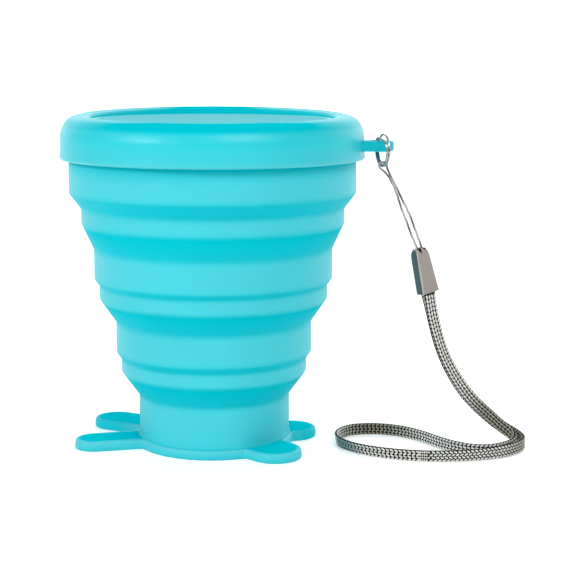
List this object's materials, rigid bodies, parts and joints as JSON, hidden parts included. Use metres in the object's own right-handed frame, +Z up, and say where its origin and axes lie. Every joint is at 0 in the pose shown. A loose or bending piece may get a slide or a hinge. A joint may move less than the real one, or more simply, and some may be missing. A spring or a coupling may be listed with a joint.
{
  "type": "collapsible travel cup",
  "caption": "Collapsible silicone travel cup with stepped folding wall, lobed flat foot, push-on lid with eyelet, split ring and woven wrist lanyard.",
  "frame": {"origin": "centre of the foot's underside, on the cup's axis", "axes": "+Z up along the cup's axis; +X along the lid's eyelet tab"},
  "size_m": [0.1343, 0.087, 0.0965],
  "materials": {
    "silicone_cup": "satin silicone, aqua blue",
    "silicone_lid": "satin silicone, aqua blue",
    "ring_steel": "bright steel wire",
    "thin_cord": "fine silver-grey braided cord",
    "grip_plastic": "satin warm grey plastic",
    "woven_strap": "flat woven tape in black and pale grey"
  },
  "bodies": {
    "rim": {"cup_rim": "silicone_cup", "upper_fold": "silicone_cup"},
    "upper_band": {"upper_ring": "silicone_cup", "middle_fold": "silicone_cup"},
    "lower_band": {"lower_ring": "silicone_cup", "lower_fold": "silicone_cup"},
    "base": {"cup_base": "silicone_cup", "foot": "silicone_cup"},
    "lid": {"lid_top": "silicone_lid", "lid_skirt": "silicone_lid", "lid_plug": "silicone_lid", "lid_eyelet": "silicone_lid"},
    "ring": {"split_ring": "ring_steel"},
    "lanyard": {"cord_loop": "thin_cord", "sleeve": "grip_plastic", "wrist_strap": "woven_strap"}
  },
  "joints": [
    {"name": "fold_upper", "type": "slide", "parent": "rim", "child": "upper_band", "axis": [0, 0, 1], "range_m": [0, 0.0246], "deforming": ["upper_fold"]},
    {"name": "fold_middle", "type": "slide", "parent": "upper_band", "child": "lower_band", "axis": [0, 0, 1], "range_m": [0, 0.0222], "deforming": ["middle_fold"]},
    {"name": "fold_lower", "type": "slide", "parent": "lower_band", "child": "base", "axis": [0, 0, 1], "range_m": [0, 0.0214], "deforming": ["lower_fold"]},
    {"name": "lid_lift", "type": "slide", "parent": "rim", "child": "lid", "axis": [0, 0, 1], "range_m": [0, 0.04]},
    {"name": "ring_swing", "type": "hinge", "parent": "lid", "child": "ring", "pos_m": [0.0491, -0.0034, 0.0871], "axis": [0.4617, -0.887, 0], "range_deg": [0, 20]},
    {"name": "lanyard_swing", "type": "hinge", "parent": "ring", "child": "lanyard", "pos_m": [0.0491, -0.0034, 0.0817], "axis": [0.4617, -0.887, 0], "range_deg": [0, 60]}
  ]
}
